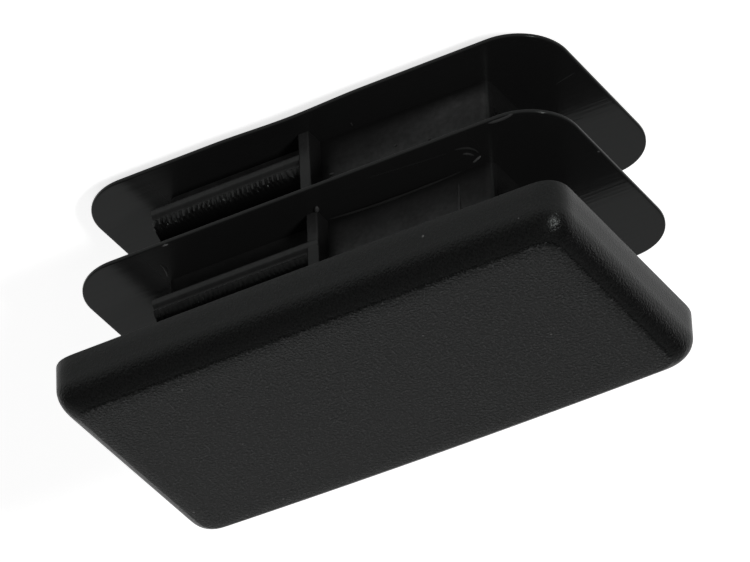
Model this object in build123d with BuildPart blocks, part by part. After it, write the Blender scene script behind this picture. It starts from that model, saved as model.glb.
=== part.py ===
"""Rectangular profile end cap with two sealing fins, moulded in one piece. Millimetres.

The cap stands on the rim of its hollow core, with the visible face on top:
+Z out through the face, X along the 60 mm side, origin at the centre of the foot.
"""

import os
from math import acos, radians, sin, tan

from build123d import *

# --- driving dimensions ------------------------------------------------------------------

# Head: the plate that covers the end of a 60 x 30 mm tube.
head_length = 60.0
head_width = 30.0
head_height = 6.1
head_corner = 2.5  # plan radius of the four corners
edge_radius = 3.6  # radius of the crowned edge between side and face
edge_inset = 2.05  # how far in the crown meets the flat face, at a slight crease
shoulder_radius = 0.2

# Core: a hollow box that carries the fins and narrows towards the tube.
core_length = 39.2
core_width = 17.0
core_height = 22.9
core_corner = 1.0
core_draft = 1.0  # degrees
core_wall = 1.8
face_wall = 2.6  # left between the pockets and the face
foot_chamfer = 0.5

# Cross web: divides the hollow and stands out of both long sides as a rib.
web_x = 0.85
web_thickness = 1.4
rib_reach = 10.5  # from the centre plane to the rib's outer face

# Fins: thin plates all round the core, tapered from root to rim.
fin_drop = 10.2  # from the shoulder to the first fin
fin_pitch = 10.5
fin_outlines = ((58.0, 28.8, 5.9), (56.2, 27.2, 6.0))  # length, width, corner radius
fin_rim = 0.35
fin_root = 1.0

# Ledges: quarter-round bars along one half of the long sides, one pair in each gap.
ledge_levels = (16.4, 4.9)  # of the flat lower sides, above the foot
ledge_reach = 10.45  # from the centre plane to the upright front
ledge_radius = 2.1
ledge_front = 0.9  # height of the upright front, below the quarter round
ledge_end = 19.7
ledge_proud = 0.15  # the upper pair runs on across the rib, this far proud of it

# --- values worked out from them ---------------------------------------------------------

total_height = core_height + head_height
shoulder = Plane.XY.offset(core_height)
crown_trim = edge_radius * (1 - sin(acos(1 - edge_inset / edge_radius)))
fin_levels = [core_height - fin_drop - i * fin_pitch for i in range(len(fin_outlines))]
draft_inset = core_height * tan(radians(core_draft))
foot_length = core_length - 2 * draft_inset
foot_width = core_width - 2 * draft_inset
web_near = web_x + web_thickness / 2
web_far = web_x - web_thickness / 2
pocket_end = foot_length / 2 - core_wall
pocket_width = foot_width - 2 * core_wall
ledge_back = core_width / 2 - core_wall

# Each pair of ledges: level of the flat lower side, where it starts in X, its reach.
ledges = (
    (ledge_levels[0], web_far, ledge_reach + ledge_proud),
    (ledge_levels[1], web_near, ledge_reach),
)

# --- the moulding ------------------------------------------------------------------------

with BuildPart() as end_cap:
    # Head: a slab with a crowned edge, cut off where the flat face begins.
    with BuildSketch(shoulder):
        RectangleRounded(head_length, head_width, head_corner)
    extrude(amount=head_height + crown_trim)
    fillet(end_cap.faces().sort_by(Axis.Z)[-1].edges(), radius=edge_radius)
    split(bisect_by=Plane.XY.offset(total_height), keep=Keep.BOTTOM)
    fillet(end_cap.faces().sort_by(Axis.Z)[0].edges(), radius=shoulder_radius)

    # Core: drafted from the shoulder down to the foot.
    with BuildSketch(shoulder):
        RectangleRounded(core_length, core_width, core_corner)
    extrude(amount=-core_height, taper=core_draft)
    chamfer(end_cap.faces().sort_by(Axis.Z)[0].edges(), length=foot_chamfer)

    # Fins: flat towards the head, tapered on the side that enters the tube first.
    for level, (length, width, radius) in zip(fin_levels, fin_outlines):
        with BuildSketch(Plane.XY.offset(level)):
            RectangleRounded(length, width, radius)
        extrude(amount=-fin_rim)
        with BuildSketch(Plane.XY.offset(level - fin_rim)):
            RectangleRounded(length, width, radius)
        with BuildSketch(Plane.XY.offset(level - fin_root)):
            RectangleRounded(foot_length, foot_width, core_corner)
        loft(ruled=True)

    # Ribs: the ends of the cross web, from the shoulder down to the last fin.
    with BuildSketch(shoulder):
        with Locations((web_x, 0)):
            Rectangle(web_thickness, 2 * rib_reach)
    extrude(amount=fin_levels[-1] - core_height)

    # Ledges: flat below, rounded on top, on both long sides.
    for level, start, reach in ledges:
        top = level + ledge_front + ledge_radius
        round_start = (-reach, level + ledge_front)
        round_end = (-reach + ledge_radius, top)
        with BuildSketch(Plane.YZ.offset(start)):
            with BuildLine():
                Polyline(
                    round_end,
                    (-ledge_back, top),
                    (-ledge_back, level),
                    (-reach, level),
                    round_start,
                )
                RadiusArc(round_start, round_end, ledge_radius)
            make_face()
            mirror(about=Plane.YZ)
        extrude(amount=ledge_end - start)

    # Hollow: a pocket on each side of the cross web, open at the foot.
    for near, far in ((web_near, pocket_end), (web_far, -pocket_end)):
        with BuildSketch(Plane.XY):
            with Locations(((near + far) / 2, 0)):
                RectangleRounded(abs(far - near), pocket_width, core_corner)
        extrude(amount=total_height - face_wall, taper=core_draft, mode=Mode.SUBTRACT)

end_cap.part.label = "end_cap"
os.makedirs("parts", exist_ok=True)
export_step(end_cap.part, "parts/end_cap.step")
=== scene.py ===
# %% [markdown]
# # A moulded end cap for a 60 x 30 mm tube
#
# The cap is one piece of black polyethylene. A thick head covers the cut end of the tube, and two
# thin fins round a hollow core bend and grip the inside of its walls. The solids were made in a CAD
# program and come in as a fixed frame. This lesson builds the same moulding again as a fine mesh,
# with the small things that a mould and its release leave behind, and then gives it its finish.

from math import cos, pi, radians, sin, tan

import bpy
from mathutils import Matrix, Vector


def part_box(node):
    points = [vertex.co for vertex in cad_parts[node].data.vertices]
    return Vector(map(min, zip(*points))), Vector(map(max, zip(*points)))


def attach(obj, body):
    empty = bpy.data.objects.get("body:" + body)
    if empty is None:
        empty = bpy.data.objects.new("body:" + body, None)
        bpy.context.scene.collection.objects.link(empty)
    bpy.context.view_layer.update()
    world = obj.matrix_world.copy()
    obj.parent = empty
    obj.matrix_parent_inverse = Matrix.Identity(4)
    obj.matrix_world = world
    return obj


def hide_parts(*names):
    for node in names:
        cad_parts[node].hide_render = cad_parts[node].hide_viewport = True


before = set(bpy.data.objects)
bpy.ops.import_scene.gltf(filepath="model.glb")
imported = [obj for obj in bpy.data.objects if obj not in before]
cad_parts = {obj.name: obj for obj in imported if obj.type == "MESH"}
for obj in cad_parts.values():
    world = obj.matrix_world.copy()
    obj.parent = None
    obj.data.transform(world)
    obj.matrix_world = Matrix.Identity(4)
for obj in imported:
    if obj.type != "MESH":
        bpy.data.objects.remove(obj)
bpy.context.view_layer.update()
low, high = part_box("end_cap")

MM = 0.001
head_length = (high.x - low.x) / MM
head_width = (high.y - low.y) / MM
total_height = (high.z - low.z) / MM
print(f"frame: {head_length:.1f} x {head_width:.1f} x {total_height:.1f} mm")

# %% [markdown]
# ## The camera
#
# A long lens from far away keeps the parallel edges of a small part nearly parallel. The cap stands
# on its core with the visible face on top, and the camera is rolled by about half a turn, so that
# it appears face down, as it would lie on a workbench. The camera comes first, because it says
# which details will be large enough to be seen.

# %% Camera
camera_place = (-288.15, -516.69, 430.47)  # millimetres
camera_turn = (-54.919, -2.079, 149.440)  # degrees, applied in the order X, Y, Z
camera_lens = 336.9
camera_sensor = 36.0

scene = bpy.context.scene
camera = bpy.data.objects.new("camera", bpy.data.cameras.new("camera"))
camera.data.lens = camera_lens
camera.data.sensor_width = camera_sensor
camera.data.clip_end = 10.0
camera.location = [v * MM for v in camera_place]
camera.rotation_euler = [radians(v) for v in camera_turn]
scene.collection.objects.link(camera)
scene.camera = camera
scene.view_settings.view_transform = "Standard"
print(f"camera: {camera.location.length / MM:.0f} mm away, lens {camera_lens} mm")

# %% [markdown]
# ## Writing node trees as expressions
#
# Both materials and Geometry Nodes are trees of nodes. Wired by hand, a formula such as
# `1 - mask * 0.2` takes several lines and hides what it means. So one small class wraps a socket:
# its operators add Math nodes, and its method `node` adds any other node. The other methods are
# shorthands for it.


# %% A socket that does arithmetic
class Wire:
    """One output socket of a node tree. Arithmetic on it adds Math nodes; node() adds any node."""

    def __init__(self, tree, socket=None):
        self.tree = tree
        self.socket = socket

    def node(self, kind, settings=None, sockets=None):
        """Adds a node: first its settings, then its sockets, each from a value or from a wire."""
        made = self.tree.nodes.new(kind)
        for name, value in (settings or {}).items():
            setattr(made, name, value)
        for name, value in (sockets or {}).items():
            if isinstance(value, Wire):
                self.tree.links.new(value.socket, made.inputs[name])
            else:
                made.inputs[name].default_value = value
        return Wire(self.tree, made.outputs[0])

    def out(self, name):
        """Another output of the same node."""
        return Wire(self.tree, self.socket.node.outputs[name])

    def math(self, operation, *values, kind="ShaderNodeMath"):
        """A Math node on this wire and up to two more values."""
        return self.node(kind, {"operation": operation}, dict(enumerate((self, *values))))

    def vector_math(self, operation, *values):
        """The same on vectors."""
        return self.math(operation, *values, kind="ShaderNodeVectorMath")

    def __add__(self, other):
        return self.math("ADD", other)

    __radd__ = __add__

    def __mul__(self, other):
        return self.math("MULTIPLY", other)

    __rmul__ = __mul__

    def __sub__(self, other):
        return self.math("SUBTRACT", other)

    def __rsub__(self, other):
        return (self * -1.0).math("ADD", other)

    def __truediv__(self, other):
        return self.math("DIVIDE", other)

    def ramp(self, start, end):
        """0 below start, 1 above end, and a smooth step between them."""
        return self.node(
            "ShaderNodeMapRange",
            {"interpolation_type": "SMOOTHSTEP"},
            {"Value": self, "From Min": start, "From Max": end},
        )


# %% [markdown]
# ## Sizes of the moulding
#
# Everything is worked out from a few sizes in millimetres, as the mould maker would have them. The
# length, width and height come from the frame.

# %% Sizes of the moulding
head_height = 6.22
head_corner = 2.7  # radius of the upright edges
head_bow = (0.15, 0.58)  # how far the long sides bulge, at -Y and at +Y
crown_radius = 3.62
crown_turn = 64.3  # degrees from the side to where the crown meets the face
shoulder_radius = 0.2
shoulder_level = total_height - head_height

core_length, core_width, core_corner = 39.2, 17.0, 1.0  # at the shoulder
core_draft = tan(radians(1.0))
core_wall = 1.8
face_wall = 2.6  # between the hollows and the face
foot_chamfer = 0.5

web_x, web_thickness = 0.85, 1.4
rib_places = ((0.70, 0.70, 1.42), (1.36, 1.22, 1.38))  # centre below, centre above, thickness
rib_reach = 10.5  # from the middle of the cap
rib_corner = 0.24

fin_levels = (12.7, 2.2)
fin_outlines = ((58.0, 28.8, 5.9), (56.2, 27.2, 6.0))  # length, width, corner radius
fin_shifts = ((-0.32, 0.16), (-0.16, 0.09))  # how far each rim sits off centre
fin_rim, fin_root = 0.46, 1.0  # thickness
print(f"head {head_height} mm thick, fins {fin_levels[0] - fin_levels[1]:.1f} mm apart")

# %% [markdown]
# ## Lofting rounded rectangles
#
# The head, the core, the ribs and the hollows are all stacks of rounded rectangles. If each
# rectangle is drawn with the same number of points, one loft function skins any of them: it joins
# ring to ring with quads and closes both ends. A Bevel modifier could soften the edges instead, but
# here the rings already carry every radius, so the mesh stays clean for the union that follows.

# %% Loft function
arc_steps, long_steps, short_steps = 12, 30, 14


def quarter_turn(ease):
    """Points from (1, 0) to (0, 1). With ease, the curve leaves the straight sides gently."""
    fine_steps = 20
    x, y, track = 0.0, 0.0, [(0.0, 0.0)]
    for step in range(arc_steps * fine_steps):
        share = (step + 0.5) / (arc_steps * fine_steps)
        heading = pi / 2 * (share - ease * sin(2 * pi * share) / (2 * pi))
        x, y = x - sin(heading), y + cos(heading)
        if (step + 1) % fine_steps == 0:
            track.append((x, y))
    return [(1.0 + px / y, py / y) for px, py in track]


turns = {ease: quarter_turn(ease) for ease in (0.0, 1.0)}


def rounded_rectangle(length, width, radius, level, centre_x=0.0, ease=0.0):
    """One ring of points at this level, starting at the +X end and running towards +Y."""
    ring = []
    corners = ((1, 1), (-1, 1), (-1, -1), (1, -1))
    for turn, (side_x, side_y) in enumerate(corners):
        middle_x = centre_x + side_x * (length / 2 - radius)
        middle_y = side_y * (width / 2 - radius)
        for along, across in turns[ease]:
            if turn % 2:
                along, across = across, along
            ring.append(
                (middle_x + radius * along * side_x, middle_y + radius * across * side_y, level)
            )
        next_x, next_y = corners[(turn + 1) % 4]
        steps = long_steps if turn % 2 == 0 else short_steps
        end_x = centre_x + next_x * (length / 2 - radius)
        end_y = next_y * (width / 2 - radius)
        if turn % 2 == 0:
            end_y = next_y * width / 2
        else:
            end_x = centre_x + next_x * length / 2
        start_x, start_y, _ = ring[-1]
        for step in range(1, steps):
            share = step / steps
            ring.append(
                (start_x + (end_x - start_x) * share, start_y + (end_y - start_y) * share, level)
            )
    return ring


def mesh_object(name, points, faces):
    """A new object in the scene, with these points and faces as its mesh."""
    mesh = bpy.data.meshes.new(name)
    mesh.from_pydata(points, [], faces)
    made = bpy.data.objects.new(name, mesh)
    scene.collection.objects.link(made)
    return made


def loft(name, rings):
    """A closed skin over rings that are given from the lowest to the highest."""
    count = len(rings[0])
    points = [point for ring in rings for point in ring]
    faces = [tuple(reversed(range(count)))]
    for row in range(len(rings) - 1):
        near, far = row * count, (row + 1) * count
        for i in range(count):
            j = (i + 1) % count
            faces.append((near + i, near + j, far + j, far + i))
    faces.append(tuple(range(len(points) - count, len(points))))
    return mesh_object(name, points, faces)


# %% [markdown]
# ## The head
#
# The head is the only part that stays in sight. Its edge is crowned: an arc leaves the upright side
# and meets the face before it has turned all the way, which leaves a slight crease. Plastic shrinks
# as it cools, and most where it is thick, so the face also falls away a little towards the crease.

# %% Head
shoulder_steps, crown_steps, ease_steps = 3, 14, 5
ease_length, ease_turn = 1.5, 9.0  # how far in the face falls away, and its slope at the crease
face_insets = (4.0, 6.0, 8.5, 11.0, 12.8)  # of the rings that only carry the flat face
corner_reach = 1.4  # an eased corner reaches further than a plain arc that cuts off as much
corner_shrink = 0.4  # how much of its inset a ring's corner loses: the crown stays round there
least_corner = 0.5

crown_inset = crown_radius * (1 - cos(radians(crown_turn)))
ease_radius = ease_length / sin(radians(ease_turn))
ease_drop = ease_radius * (1 - cos(radians(ease_turn)))
face_level = total_height + ease_drop
crown_base = total_height - crown_radius * sin(radians(crown_turn))


def head_ring(inset, level):
    """The head's outline at this level, this far in from the sides, with its long sides bowed."""
    corner = max(head_corner - inset * corner_shrink, least_corner) * corner_reach
    ring = rounded_rectangle(
        head_length - 2 * inset, head_width - 2 * inset, corner, level, ease=1.0
    )
    bowed = []
    for x, y, z in ring:
        bulge = head_bow[y > 0] * (1 - (2 * x / head_length) ** 2)
        bowed.append((x, y + bulge * y / abs(y) * (2 * y / head_width) ** 2 if y else y, z))
    return bowed


rings = []
for step in range(shoulder_steps + 1):
    angle = pi / 2 * step / shoulder_steps
    rings.append(
        head_ring(
            shoulder_radius * (1 - sin(angle)), shoulder_level + shoulder_radius * (1 - cos(angle))
        )
    )
rings.append(head_ring(0.0, (shoulder_level + crown_base) / 2))
for step in range(crown_steps + 1):
    angle = radians(crown_turn) * step / crown_steps
    rings.append(
        head_ring(crown_radius * (1 - cos(angle)), crown_base + crown_radius * sin(angle))
    )
for step in range(1, ease_steps + 1):
    angle = radians(ease_turn) * (1 - step / ease_steps)
    rings.append(
        head_ring(
            crown_inset + ease_length - ease_radius * sin(angle),
            face_level - ease_radius * (1 - cos(angle)),
        )
    )
rings += [head_ring(inset, face_level) for inset in face_insets]
head = loft("head", rings)
print(f"head: crown meets the face {crown_inset:.2f} mm in, {len(head.data.polygons)} faces")

# %% [markdown]
# ## Core, ribs and hollows
#
# The core narrows by one degree towards the foot, so that it leaves the mould. A web crosses it and
# stands out of both long sides as a rib. Two hollows keep the walls thin, because thick plastic
# cools slowly and sinks. The hollows are lofts too, and are taken away at the end.


# %% Core, ribs and hollows
def core_size(level):
    """The core's length and width at this level."""
    inset = core_draft * (shoulder_level - level)
    return core_length - 2 * inset, core_width - 2 * inset


def core_ring(level, inset=0.0):
    """The core's outline at this level, this far in."""
    length, width = core_size(level)
    return rounded_rectangle(length - 2 * inset, width - 2 * inset, core_corner, level)


buried = 1.5  # how far one body runs into the next, so that no faces lie on each other
core = loft(
    "core",
    [
        core_ring(0.0, foot_chamfer),
        core_ring(foot_chamfer),
        core_ring(shoulder_level + buried),
    ],
)

rib_levels = (shoulder_level + buried / 2, *(level - fin_root / 2 for level in fin_levels))
ribs = [
    loft(
        f"rib_{number + 1}",
        [
            rounded_rectangle(thickness, 2 * rib_reach, rib_corner, level, centre)
            for level, centre in ((rib_levels[number + 1], below), (rib_levels[number], above))
        ],
    )
    for number, (below, above, thickness) in enumerate(rib_places)
]

foot_length, foot_width = core_size(0.0)
web_near, web_far = web_x + web_thickness / 2, web_x - web_thickness / 2
hollow_top = total_height - face_wall
hollows = []
for name, near, far in (
    ("hollow_plus_x", web_near, foot_length / 2 - core_wall),
    ("hollow_minus_x", web_far, -foot_length / 2 + core_wall),
):
    rings = []
    for level in (-buried, 0.0, hollow_top):
        inset = core_draft * level
        rings.append(
            rounded_rectangle(
                abs(far - near) - 2 * inset,
                foot_width - 2 * core_wall - 2 * inset,
                core_corner,
                level,
                (near + far) / 2,
            )
        )
    hollows.append(loft(name, rings))
print(f"core: {core_length} x {core_width} mm at the head, {foot_length:.1f} mm at the foot")

# %% [markdown]
# ## Running a Geometry Nodes tree
#
# Fins, ledges and threads of flash repeat, so each comes from a Geometry Nodes tree with named
# inputs. One helper starts a tree and one ends it. The third puts a tree on an empty object, sets
# its inputs by identifier before the first evaluation, takes the result as a plain mesh, and drops
# the modifier.


# %% Helpers for Geometry Nodes
def new_tree(name, inputs):
    """A geometry tree with named inputs; returns it, its input wires and a start wire."""
    tree = bpy.data.node_groups.new(name, "GeometryNodeTree")
    tree.interface.new_socket("Geometry", in_out="OUTPUT", socket_type="NodeSocketGeometry")
    for label in inputs:
        kind = "NodeSocketVector" if label.endswith("Point") else "NodeSocketFloat"
        tree.interface.new_socket(label, in_out="INPUT", socket_type=kind)
    entry = tree.nodes.new("NodeGroupInput")
    wires = {label: Wire(tree, entry.outputs[label]) for label in inputs}
    return tree, wires, Wire(tree)


def end_tree(shape, material):
    """Ends a tree in Realize Instances and Set Material."""
    real = shape.node("GeometryNodeRealizeInstances", {}, {"Geometry": shape})
    done = real.node("GeometryNodeSetMaterial", {}, {"Geometry": real, "Material": material})
    leave = shape.tree.nodes.new("NodeGroupOutput")
    shape.tree.links.new(done.socket, leave.inputs["Geometry"])


def grow(name, tree, values):
    """Evaluates a tree once with these input values and returns the result as a mesh object."""
    grown = mesh_object(name, [], [])
    modifier = grown.modifiers.new("grow", "NODES")
    modifier.node_group = tree
    for item in tree.interface.items_tree:
        if item.in_out == "INPUT":
            modifier[item.identifier] = values[item.name]
    depsgraph = bpy.context.evaluated_depsgraph_get()
    result = bpy.data.meshes.new_from_object(grown.evaluated_get(depsgraph))
    grown.modifiers.remove(modifier)
    grown.data = result
    return grown


plastic = bpy.data.materials.new("black_polyethylene")

# %% [markdown]
# ## The sealing fins
#
# A fin is a thin plate all round the core. It is flat towards the head and tapers on the side that
# enters the tube first. The tree samples two curves at the same share of their length, the core's
# outline and the rim's, and mixes them across the fin. A grid carries the two shares: round the cap
# in one direction, and over the section, from the root to the rim and back, in the other. The rim
# of so thin a plate never comes out quite true: it sits a little off centre, and the rib, which
# cools last, pulls it towards the head.

# %% Fin tree
around_steps, section_steps = 360, 45
corner_points = 24
weld_distance = 0.0005
fin_inputs = (
    "Length", "Width", "Corner", "Root Length", "Root Width", "Root Corner", "Level",
    "Rim Thickness", "Root Thickness", "Shift X", "Shift Y", "Dip Place", "Dip Width", "Dip Depth",
)
fin_tree, fin, start = new_tree("sealing_fin", fin_inputs)


def sampled_outline(length, width, corner, share):
    """The point at this share of the way round a rounded rectangle."""
    box = start.node(
        "GeometryNodeCurvePrimitiveQuadrilateral", {}, {"Width": length, "Height": width}
    )
    curve = start.node(
        "GeometryNodeFilletCurve",
        {"mode": "POLY"},
        {"Curve": box, "Count": corner_points, "Radius": corner, "Limit Radius": True},
    )
    return start.node("GeometryNodeSampleCurve", {}, {"Curves": curve, "Factor": share}).out(
        "Position"
    )


grid = start.node(
    "GeometryNodeMeshGrid", {}, {"Vertices X": around_steps + 1, "Vertices Y": section_steps + 1}
)
shares = start.node("ShaderNodeSeparateXYZ", {}, {"Vector": grid.out("UV Map")})
across = shares.out("Y") * 2.0 - 1.0  # -1 at the root above, 0 at the rim, 1 at the root below

# The middle third of the grid rounds the rim; the rest runs down to the root on both sides.
rim_turn = (across * 3.0).math("MINIMUM", 1.0).math("MAXIMUM", -1.0) * (pi / 2)
rim_lift = rim_turn.math("SINE").math("ABSOLUTE").math("SQRT") * across.math("SIGN") * -1.0
rim_pull = 1.0 - rim_turn.math("COSINE").math("ABSOLUTE").math("SQRT")
inwards = (across.math("ABSOLUTE") * 1.5 - 0.5).math("MAXIMUM", 0.0)
half_reach = (fin["Width"] - fin["Root Width"]) / 2.0
reach = 1.0 - inwards * inwards - rim_pull * (fin["Rim Thickness"] / 2.0) / half_reach

# Above, the fin is flat; below, it thickens towards the root, and the last ring closes it.
taper = (fin["Root Thickness"] - fin["Rim Thickness"]) * (1.0 - reach)
thickness = (fin["Rim Thickness"] + taper) * inwards.math("LESS_THAN", 0.999)
height = (rim_lift - 1.0) * thickness / 2.0

inner = sampled_outline(fin["Root Length"], fin["Root Width"], fin["Root Corner"], shares.out("X"))
outer = sampled_outline(fin["Length"], fin["Width"], fin["Corner"], shares.out("X"))
off_centre = start.node("ShaderNodeCombineXYZ", {}, {"X": fin["Shift X"], "Y": fin["Shift Y"]})
outer = outer.vector_math("ADD", off_centre)
spread = outer.vector_math("SUBTRACT", inner)
stretch = start.node("ShaderNodeCombineXYZ", {}, {"X": reach, "Y": reach, "Z": reach})
flat = inner.vector_math("ADD", spread.vector_math("MULTIPLY", stretch))
along = start.node("ShaderNodeSeparateXYZ", {}, {"Vector": flat})

dip = 1.0 - (along.out("X") - fin["Dip Place"]).math("ABSOLUTE").ramp(0.0, fin["Dip Width"])
level = fin["Level"] + height + dip * fin["Dip Depth"] * reach * reach
raised = start.node("ShaderNodeCombineXYZ", {}, {"Z": level})
placed = start.node(
    "GeometryNodeSetPosition",
    {},
    {"Geometry": grid, "Position": flat.vector_math("ADD", raised)},
)
welded = start.node(
    "GeometryNodeMergeByDistance", {}, {"Geometry": placed, "Distance": weld_distance}
)
outwards = start.node("GeometryNodeFlipFaces", {}, {"Mesh": welded})  # the grid faced inwards
end_tree(outwards, plastic)

# %% Fins
root_depth = (1.5, 0.8)  # how far the root runs into the core's walls, along X and across
fin_proud = 0.1  # how far the upper faces lie above their level
fin_dips = (0.0, 0.27)  # how far the rib pulls the rim towards the head
dip_width = 9.0
fins = []
for number, level in enumerate(fin_levels):
    length, width, corner = fin_outlines[number]
    root_length, root_width = core_size(level)
    fins.append(
        grow(
            f"fin_{number + 1}",
            fin_tree,
            {
                "Length": length,
                "Width": width,
                "Corner": corner,
                "Root Length": root_length - 2 * root_depth[0],
                "Root Width": root_width - 2 * root_depth[1],
                "Root Corner": core_corner,
                "Level": level + fin_proud,
                "Rim Thickness": fin_rim,
                "Root Thickness": fin_root,
                "Shift X": fin_shifts[number][0],
                "Shift Y": fin_shifts[number][1],
                "Dip Place": rib_places[1][0],
                "Dip Width": dip_width,
                "Dip Depth": fin_dips[number],
            },
        )
    )
    print(f"{fins[-1].name}: {len(fins[-1].data.polygons)} faces")

# %% [markdown]
# ## The ledges
#
# On one half of the cap, a bar with a rounded edge runs along the core in each gap. Its slot in the
# mould was sunk with a small cutter, step by step, and the plastic copies what the cutter left: a
# front that leans back a little, a shallow groove above it, and a row of uneven teeth where the bar
# turns over. The tree draws the section as a rectangle with one corner rounded, extends it along X
# with Curve to Mesh, and then moves the points of the front by these three amounts. The mirror
# image of the result is the bar on the other side.

# %% Ledge tree
ledge_inputs = (
    "Start", "End", "Level", "Front Height", "Round Radius", "Back", "Reach", "Edge Radius",
    "Groove Depth", "Front Lean", "Tooth Pitch", "Tooth Share", "Tooth Drift", "Fade Length",
)
steps_per_tooth = 7
round_corner = 3  # index of the section's upper front corner
round_points, sharp_points, front_cuts = 25.0, 3.0, 6.0
ledge_tree, ledge, start = new_tree("toothed_ledge", ledge_inputs)

ledge_height = ledge["Front Height"] + ledge["Round Radius"]
half_depth = (ledge["Reach"] - ledge["Back"]) / 2.0
section = start.node(
    "GeometryNodeCurvePrimitiveQuadrilateral",
    {},
    {"Width": half_depth * 2.0, "Height": ledge_height},
)
is_round = start.node("GeometryNodeInputIndex").math("COMPARE", round_corner, 0.5)
corner_radius = is_round * (ledge["Round Radius"] - ledge["Edge Radius"]) + ledge["Edge Radius"]
rounded = start.node(
    "GeometryNodeFilletCurve",
    {"mode": "POLY"},
    {
        "Curve": section,
        "Count": is_round * (round_points - sharp_points) + sharp_points,
        "Radius": corner_radius,
    },
)
section_place = start.node(
    "ShaderNodeSeparateXYZ", {}, {"Vector": start.node("GeometryNodeInputPosition")}
)
on_front = section_place.out("X").math("GREATER_THAN", half_depth - 0.001)
rounded = start.node(
    "GeometryNodeSubdivideCurve", {}, {"Curve": rounded, "Cuts": on_front * front_cuts}
)

spine = start.node(
    "GeometryNodeCurvePrimitiveLine",
    {},
    {
        "Start": start.node("ShaderNodeCombineXYZ", {}, {"X": ledge["Start"]}),
        "End": start.node("ShaderNodeCombineXYZ", {}, {"X": ledge["End"]}),
    },
)
steps = (ledge["End"] - ledge["Start"]) / ledge["Tooth Pitch"] * steps_per_tooth
spine = start.node("GeometryNodeResampleCurve", {}, {"Curve": spine, "Count": steps})
bar = start.node(
    "GeometryNodeCurveToMesh", {}, {"Curve": spine, "Profile Curve": rounded, "Fill Caps": True}
)

# The front leans back a little. A shallow groove runs above it, and above that, between the
# cutter's steps, teeth are left where the bar begins to turn over. Both are placed by the height
# over the front's upper edge, in millimetres.
place = start.node(
    "ShaderNodeSeparateXYZ", {}, {"Vector": start.node("GeometryNodeInputPosition")}
)
facing = start.node(
    "ShaderNodeSeparateXYZ", {}, {"Vector": start.node("GeometryNodeInputNormal")}
)
outwards = (facing.out("Y") * -1.0).ramp(0.05, 0.3)
depth = place.out("Y") + half_depth
climb = place.out("Z") + ledge_height / 2.0
over_front = climb - ledge["Front Height"]
lean = climb * climb * ledge["Front Lean"]
groove = over_front.ramp(-0.42, 0.0) * (1.0 - over_front.ramp(0.08, 0.35)) * ledge["Groove Depth"]
uneven = start.node("ShaderNodeTexNoise", {}, {"Scale": 0.45, "Detail": 1.0})
phase = (place.out("X") / ledge["Tooth Pitch"] + uneven * ledge["Tooth Drift"]) * pi
tooth = phase.math("SINE").math("ABSOLUTE").ramp(0.45, 0.9)
fade = (place.out("X") - ledge["Start"]).ramp(0.0, ledge["Fade Length"]) * 0.8 + 0.2
row = over_front.ramp(0.1, 0.3) * (1.0 - over_front.ramp(1.0, 1.25))
filled = (depth + lean) * row * tooth * fade * (uneven.ramp(0.3, 0.6) * 0.5 + 0.5)
back_off = ((lean + groove) - filled * ledge["Tooth Share"]) * outwards
marked = start.node(
    "GeometryNodeSetPosition",
    {},
    {"Geometry": bar, "Offset": start.node("ShaderNodeCombineXYZ", {}, {"Y": back_off})},
)

# One side is placed against the core, and its mirror image is the other side.
shift = start.node(
    "ShaderNodeCombineXYZ",
    {},
    {
        "Y": (ledge["Reach"] + ledge["Back"]) / -2.0,
        "Z": ledge["Level"] + ledge_height / 2.0,
    },
)
front = start.node("GeometryNodeTransform", {}, {"Geometry": marked, "Translation": shift})
mirrored = start.node(
    "GeometryNodeTransform", {}, {"Geometry": front, "Scale": (1.0, -1.0, 1.0)}
)
back = start.node("GeometryNodeFlipFaces", {}, {"Mesh": mirrored})
pair = start.node("GeometryNodeJoinGeometry", {}, {"Geometry": front})
pair.tree.links.new(back.socket, pair.socket.node.inputs["Geometry"])
end_tree(pair, plastic)

# %% Ledges
ledge_levels = (16.22, 4.8)  # of the flat undersides
ledge_end = 19.9
ledge_rows = (
    (rib_places[0][0] - rib_places[0][2] / 2 + 0.02, 10.6, 0.24, 0.25),
    (rib_places[1][0], 10.45, 0.28, 0.8),
)  # where it starts, how far it stands out, how deep the groove is, how strong the teeth are
ledges = []
for number, (begin, reach_out, groove_depth, tooth_share) in enumerate(ledge_rows):
    ledges.append(
        grow(
            f"ledges_{number + 1}",
            ledge_tree,
            {
                "Start": begin,
                "End": ledge_end,
                "Level": ledge_levels[number],
                "Front Height": 1.05,
                "Round Radius": 1.85,
                "Back": core_width / 2 - core_wall + 0.2,
                "Reach": reach_out,
                "Edge Radius": 0.06,
                "Groove Depth": groove_depth,
                "Front Lean": 0.09,
                "Tooth Pitch": 0.6,
                "Tooth Share": tooth_share,
                "Tooth Drift": 1.5,
                "Fade Length": 5.0,
            },
        )
    )
    print(f"{ledges[-1].name}: {len(ledges[-1].data.polygons)} faces")

# %% [markdown]
# ## Flash, burrs and specks
#
# Where two parts of a mould meet, a little plastic squeezes in and stays on the piece as a fine
# thread, and bits of it come off and weld themselves on again. These marks are small, but on a
# black part each of them catches the light. They could be painted on as a bump, but then they would
# vanish from the outline. So each is a short curve with an uneven, pointed tube on it, half sunk
# into the surface. One tree makes them all, from three points, a thickness and a seed. Bruised
# plastic turns pale, so the points of each tube also carry a paleness, which the material reads
# later. On the blob at the rib's corner on the first fin, that paleness is a painted highlight.

# %% Thread tree
thread_inputs = ("Start Point", "Middle Point", "End Point", "Thickness", "Paleness", "Seed")
thread_steps, thread_sides = 24, 10
thread_tree, thread, start = new_tree("thread_of_flash", thread_inputs)

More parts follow.
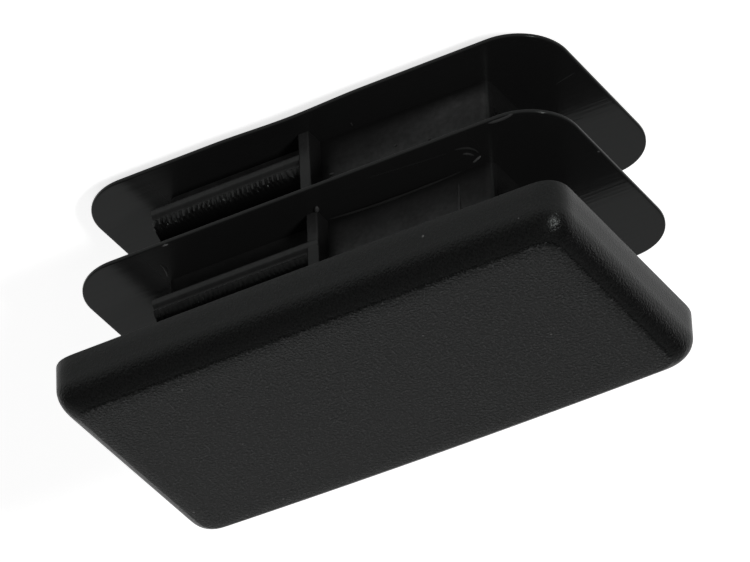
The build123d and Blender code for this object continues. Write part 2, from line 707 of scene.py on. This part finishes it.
path = start.node(
    "GeometryNodeCurveQuadraticBezier",
    {},
    {
        "Resolution": thread_steps,
        "Start": thread["Start Point"],
        "Middle": thread["Middle Point"],
        "End": thread["End Point"],
    },
)
share = start.node("GeometryNodeSplineParameter") * 2.0 - 1.0
taper = (1.02 - share * share).math("SQRT")
uneven = start.node(
    "ShaderNodeTexNoise", {"noise_dimensions": "4D"}, {"W": thread["Seed"], "Scale": 0.9}
)
girth = thread["Thickness"] / 2.0 * taper * (uneven + 0.5)
circle = start.node("GeometryNodeCurvePrimitiveCircle", {}, {"Resolution": thread_sides})
tube = start.node(
    "GeometryNodeCurveToMesh",
    {},
    {"Curve": path, "Profile Curve": circle, "Scale": girth, "Fill Caps": True},
)
marked = start.node(
    "GeometryNodeStoreNamedAttribute",
    {"data_type": "FLOAT", "domain": "POINT"},
    {"Geometry": tube, "Name": "pale", "Value": thread["Paleness"]},
)
end_tree(marked, plastic)

# %% Threads
sunk = 0.03  # how far the middle of a thread lies under the face of a fin
on_fin, on_last_fin = (level + fin_proud - sunk for level in fin_levels)
wall = -core_size(fin_levels[0])[1] / 2 + 0.1  # just inside the core's wall
thread_rows = (
    # along the core's root, and up its wall
    ((-0.1, wall - 0.4, on_fin), (-6.6, wall - 0.1, 13.35), (-16.1, wall - 0.1, on_fin), 0.3, 0.14),
    ((-15.4, wall - 0.12, 14.2), (-15.4, wall - 0.2, 18.5), (-15.4, wall - 0.28, 22.8), 0.3, 0.5),
    # round the corners of the core's root
    ((-17.5, -9.0, on_fin), (-18.1, -9.3, on_fin), (-18.8, -9.6, on_fin), 0.32, 1.2),
    ((-17.0, -11.9, on_fin), (-18.9, -11.8, on_fin), (-18.8, -10.1, on_fin), 0.34, 0.1),
    ((-17.3, -10.8, on_fin), (-18.0, -10.8, on_fin), (-18.2, -10.0, on_fin), 0.34, 0.25),
    ((18.4, -11.4, on_fin), (18.1, -10.4, on_fin), (18.9, -9.1, on_fin), 0.26, 0.1),
    # on the first fin and its rim
    ((-5.5, -12.8, on_fin), (-11.2, -12.2, on_fin), (-17.0, -11.7, on_fin), 0.12, 0.015),
    ((-22.1, -14.0, on_fin), (-23.6, -13.8, on_fin + 0.1), (-25.0, -14.0, on_fin), 0.4, 0.4),
    # a blob at the rib's corner on the first fin; its paleness is a painted highlight
    ((-0.4, -11.3, on_fin), (-0.3, -11.0, 13.0), (0.1, -10.5, on_fin), 0.5, 0.6),
    ((15.6, -13.94, 12.6), (16.0, -14.04, 12.65), (16.5, -13.94, 12.6), 0.5, 2.0),
    # specks on the wall between the fins
    ((-0.9, wall, 7.0), (-0.6, wall, 7.0), (-0.3, wall, 7.0), 0.3, 1.2),
    ((-8.4, wall, 6.5), (-8.3, wall, 6.4), (-8.1, wall, 6.4), 0.28, 0.6),
    ((-12.4, wall, 7.3), (-12.2, wall, 7.2), (-12.0, wall, 7.2), 0.34, 0.8),
    # on the last fin
    ((-3.5, -8.7, on_last_fin), (-3.6, -8.9, on_last_fin), (-3.7, -9.3, on_last_fin), 0.26, 0.3),
    ((-24.3, -3.3, on_last_fin), (-25.9, -3.8, on_last_fin), (-27.5, -4.1, on_last_fin), 0.12, 0.2),
)  # start, middle, end, thickness, paleness (at the rib's corner, a painted highlight)
threads = []
for seed, (begin, middle, finish, thickness, paleness) in enumerate(thread_rows):
    threads.append(
        grow(
            f"thread_{seed + 1}",
            thread_tree,
            {
                "Start Point": begin,
                "Middle Point": middle,
                "End Point": finish,
                "Thickness": thickness,
                "Paleness": paleness,
                "Seed": float(seed),
            },
        )
    )
print(f"threads: {len(threads)}, {sum(len(made.data.polygons) for made in threads)} faces")

# %% [markdown]
# ## One moulding
#
# All bodies so far overlap, and the real cap is one piece, so they are united, and the hollows are
# taken away. The Manifold solver is quick and gives one closed mesh if every body that goes in is
# closed and its faces point outwards. An inside-out body counts as a hole, and whatever touches it
# stays loose. Bodies run into each other by a millimetre or so, and none share a face, which also
# makes such unions reliable.


# %% Union
def combine(base, others, operation):
    """Unites other bodies with base, or takes them away from it, and deletes them."""
    group = bpy.data.collections.new(operation.lower())
    for body in others:
        group.objects.link(body)
    modifier = base.modifiers.new(operation, "BOOLEAN")
    modifier.operation = operation
    modifier.solver = "MANIFOLD"
    modifier.operand_type = "COLLECTION"
    modifier.collection = group
    depsgraph = bpy.context.evaluated_depsgraph_get()
    result = bpy.data.meshes.new_from_object(base.evaluated_get(depsgraph))
    base.modifiers.remove(modifier)
    base.data = result
    for body in others:
        bpy.data.objects.remove(body)
    bpy.data.collections.remove(group)


sharp_turn = 30.0  # degrees between two faces, above which their edge stays sharp
combine(head, [core, *ribs, *fins, *ledges, *threads], "UNION")
combine(head, hollows, "DIFFERENCE")
cap = head
cap.name = "moulded_end_cap"
cap.data.name = cap.name
cap.data.transform(Matrix.Scale(MM, 4))
cap.data.materials.clear()
cap.data.materials.append(plastic)
cap.data.shade_smooth()
cap.data.set_sharp_from_angle(angle=radians(sharp_turn))
print(f"moulding: {len(cap.data.vertices)} points, {len(cap.data.polygons)} faces")

# %% [markdown]
# ## Black polyethylene
#
# Black plastic is nearly all reflection: its own colour gives back about a hundredth of the light,
# and the rest of what we see is the soft gloss of its skin. The mould decides that skin. The head's
# cavity was spark eroded, so it is covered in fine grain that breaks every highlight up, and most
# of all on the face. The slots between the fins were only milled. The plastic there carries faint
# lines along the cap and some dust. Their walls and the ledges' fronts also get painted light, a
# greyish tone that fades into painted shade towards the fin below, the rib and the corner. The
# grain, lines, dust and mottle come from noise on Object coordinates, so they stay with the part,
# and each pattern has its real size in millimetres.

# %% Where the head ends and the core begins
plastic.use_nodes = True
plastic.node_tree.nodes.clear()
start = Wire(plastic.node_tree)
place = start.node("ShaderNodeTexCoord").out("Object").vector_math("SCALE")
place.socket.node.inputs["Scale"].default_value = 1 / MM
spot = start.node("ShaderNodeSeparateXYZ", {}, {"Vector": place})
height = spot.out("Z")
off_axis = spot.out("Y").math("ABSOLUTE")
off_centre = spot.out("X").math("ABSOLUTE")

on_head = height.ramp(shoulder_level - 0.05, shoulder_level + 0.1)
on_crown = height.ramp(crown_base - 0.3, crown_base + 0.8)
on_face = height.ramp(total_height - 0.2, total_height)

# The long walls of the slots, without the core's short ends and the fins.
normal = start.node("ShaderNodeNewGeometry").out("Normal")
facing = start.node("ShaderNodeSeparateXYZ", {}, {"Vector": normal})
on_flank = facing.out("Y").math("ABSOLUTE").ramp(0.6, 0.95) * (1.0 - on_head)
on_core = on_flank * (1.0 - off_axis.ramp(8.7, 9.0))
on_ledge = on_flank * off_axis.ramp(8.7, 9.0) * (1.0 - off_axis.ramp(11.0, 11.5))
on_tips = off_centre.ramp(18.5, 21.5) * (1.0 - on_head)


def noise(scale, detail, stretch=(1.0, 1.0, 1.0)):
    """Noise with this many waves to the millimetre, stretched along an axis if need be."""
    where = place.vector_math("MULTIPLY", stretch)
    return start.node(
        "ShaderNodeTexNoise", {}, {"Vector": where, "Scale": scale, "Detail": detail}
    )


# %% Grain, milling lines and painted slot light
grain = noise(3.4, 3.0)
fine_grain = noise(5.5, 2.0)
lines = noise(2.4, 3.0, (0.06, 1.0, 1.0))
blotches = noise(0.35, 4.0)
mottle = blotches.ramp(0.25, 0.75) * 0.35 + noise(1.9, 4.0).ramp(0.3, 0.7) * 0.3 + 0.5

# Painted light on the core's walls between the fins, fading into painted shade towards the fin
# below it, the rib and the corner.
fin_pitch = fin_levels[0] - fin_levels[1]
over_fin = ((height - fin_levels[1]) / fin_pitch).math("FRACT") * fin_pitch
from_rib = rib_places[0][0] - spot.out("X")
below_first = height.math("LESS_THAN", fin_levels[0])
spread = (3.9 + below_first * (3.3 - from_rib * 0.34)).math("MAXIMUM", 1.8)
rise = ((over_fin - 0.4) / spread).math("MAXIMUM", 0.0).math("MINIMUM", 1.0)
painted_slot_light = rise * from_rib.ramp(0.2, 2.4) * (1.0 - from_rib.ramp(14.0, 19.5) * 0.45)
# Beyond the rib, a flat amount of painted light, more of it below the first fin.
painted_slot_light = painted_slot_light + from_rib.math("LESS_THAN", 0.0) * (below_first * 0.7 + 0.12)

# %% Dust
dust_scale = 0.55  # cells to the millimetre
cell = start.node(
    "ShaderNodeTexVoronoi", {}, {"Vector": place, "Scale": dust_scale, "Randomness": 1.0}
)
lottery = start.node("ShaderNodeSeparateColor", {}, {"Color": cell.out("Color")})
speck_size = lottery.out("Green") * 0.07 + 0.03
drawn = lottery.out("Red").math("GREATER_THAN", 0.93 - on_core * 0.15)
speck = drawn * (1.0 - (cell.out("Distance") / speck_size).ramp(0.6, 1.2))

# %% Plastic
own_shade = 0.005  # how much light the plastic itself gives back
least_shade = 0.001
matt_skin = 0.165  # a moulded skin mirrors less than a polished one
faint_cast = (0.94, 1.0, 0.97, 1.0)
# pale flash, and at the rib's corner a painted highlight
pale_flash_and_highlight = start.node("ShaderNodeAttribute", {"attribute_name": "pale"}).out("Fac")
shade = (
    own_shade
    - on_face * 0.007
    + (fine_grain - 0.5) * on_head * 0.015
    + (grain + fine_grain - 1.0) * on_face * 0.1
    + (1.0 - on_head) * 0.004
    # painted light on the ledges' fronts and on the slot walls, broken up by mottle
    + (on_ledge * 0.016 + on_core * painted_slot_light * 0.058) * mottle
    + speck * 0.1
    + pale_flash_and_highlight * 0.05
)
shade = shade.math("MAXIMUM", least_shade)
colour = start.node("ShaderNodeCombineColor", {}, {"Red": shade, "Green": shade, "Blue": shade})
rough = 0.3 - on_head * 0.03 - on_tips * 0.15
relief = (
    grain * (on_head * 0.028 + on_crown * 0.044 + on_face * 0.1)
    + fine_grain * (on_head * 0.022 + on_face * 0.01)
    + lines * (1.0 - on_head) * 0.012
)
bump = start.node("ShaderNodeBump", {}, {"Height": relief, "Distance": MM, "Strength": 1.0})
shader = start.node(
    "ShaderNodeBsdfPrincipled",
    {},
    {
        "Base Color": colour,
        "Roughness": rough,
        "Specular IOR Level": matt_skin,
        "Specular Tint": faint_cast,
        "Normal": bump,
    },
)
leave = plastic.node_tree.nodes.new("ShaderNodeOutputMaterial")
plastic.node_tree.links.new(shader.socket, leave.inputs["Surface"])
print(f"{plastic.name}: {len(plastic.node_tree.nodes)} nodes")

# %% [markdown]
# ## Floor, world and lamp
#
# A white floor, a room that is a little brighter on the far side, and one small lamp. A black part
# shows its form only by what it mirrors, so the room matters more than the lamp. Through Light
# Path, the floor and the room look white to the camera, without more light falling on the part. In
# reflections they are dimmer, or the black would turn grey.

# %% Floor
floor_reach, floor_level = 1.5, -0.00002  # metres
floor_colour = (0.8, 0.8, 0.8, 1.0)
white_glow, mirrored_glow = 0.74, 0.31  # added to the lit paper, seen directly and in reflections
floor_corners = ((-1, -1), (1, -1), (1, 1), (-1, 1))
floor = mesh_object(
    "floor",
    [(x * floor_reach, y * floor_reach, floor_level) for x, y in floor_corners],
    [(0, 1, 2, 3)],
)
paper = bpy.data.materials.new("white_paper")
paper.use_nodes = True
paper.node_tree.nodes.clear()
start = Wire(paper.node_tree)
light_path = start.node("ShaderNodeLightPath")
seen = light_path.out("Is Camera Ray") + light_path.out("Is Transmission Ray")
mirrored = light_path.out("Is Glossy Ray")
matt = start.node("ShaderNodeBsdfDiffuse", {}, {"Color": floor_colour})
glow = start.node(
    "ShaderNodeEmission", {}, {"Strength": seen * white_glow + mirrored * mirrored_glow}
)
both = start.node("ShaderNodeAddShader", {}, {0: matt, 1: glow})
leave = paper.node_tree.nodes.new("ShaderNodeOutputMaterial")
paper.node_tree.links.new(both.socket, leave.inputs["Surface"])
floor.data.materials.append(paper)

# %% World
soft_boxes = (
    ((0.40, 0.71, 0.57), 0.5),  # behind
    ((-0.40, -0.71, 0.57), 0.16),  # in front
    ((0.22, -0.83, 0.50), 0.1),
    ((0.83, 0.22, 0.50), 0.22),  # to the right
)  # direction, strength
box_edge = 0.35  # cosine at which a box has faded out
world = bpy.data.worlds.new("soft_room")
scene.world = world
world.use_nodes = True
world.node_tree.nodes.clear()
start = Wire(world.node_tree)
direction = start.node("ShaderNodeTexCoord").out("Generated")
light_path = start.node("ShaderNodeLightPath")
seen = light_path.out("Is Camera Ray") + light_path.out("Is Transmission Ray")
strength = seen
for towards, power in soft_boxes:
    facing = direction.vector_math("DOT_PRODUCT", towards).out("Value")
    strength = strength + facing.ramp(box_edge, 1.0) * power * (1.0 - seen)
sky = start.node(
    "ShaderNodeBackground", {}, {"Color": (1.0, 1.0, 1.0, 1.0), "Strength": strength}
)
leave = world.node_tree.nodes.new("ShaderNodeOutputWorld")
world.node_tree.links.new(sky.socket, leave.inputs["Surface"])
print(f"{world.name}: {len(soft_boxes)} soft boxes")

# %% Lamp
lamp = bpy.data.objects.new("lamp", bpy.data.lights.new("lamp", "AREA"))
lamp.data.size = 0.1  # metres
lamp.data.energy = 2.0  # watts
lamp.location = (-0.45, -0.25, 0.32)
lamp.rotation_euler = (-lamp.location).to_track_quat("-Z", "Y").to_euler()
scene.collection.objects.link(lamp)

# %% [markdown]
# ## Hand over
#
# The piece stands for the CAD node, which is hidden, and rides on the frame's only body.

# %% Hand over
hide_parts("end_cap")
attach(cap, "root")
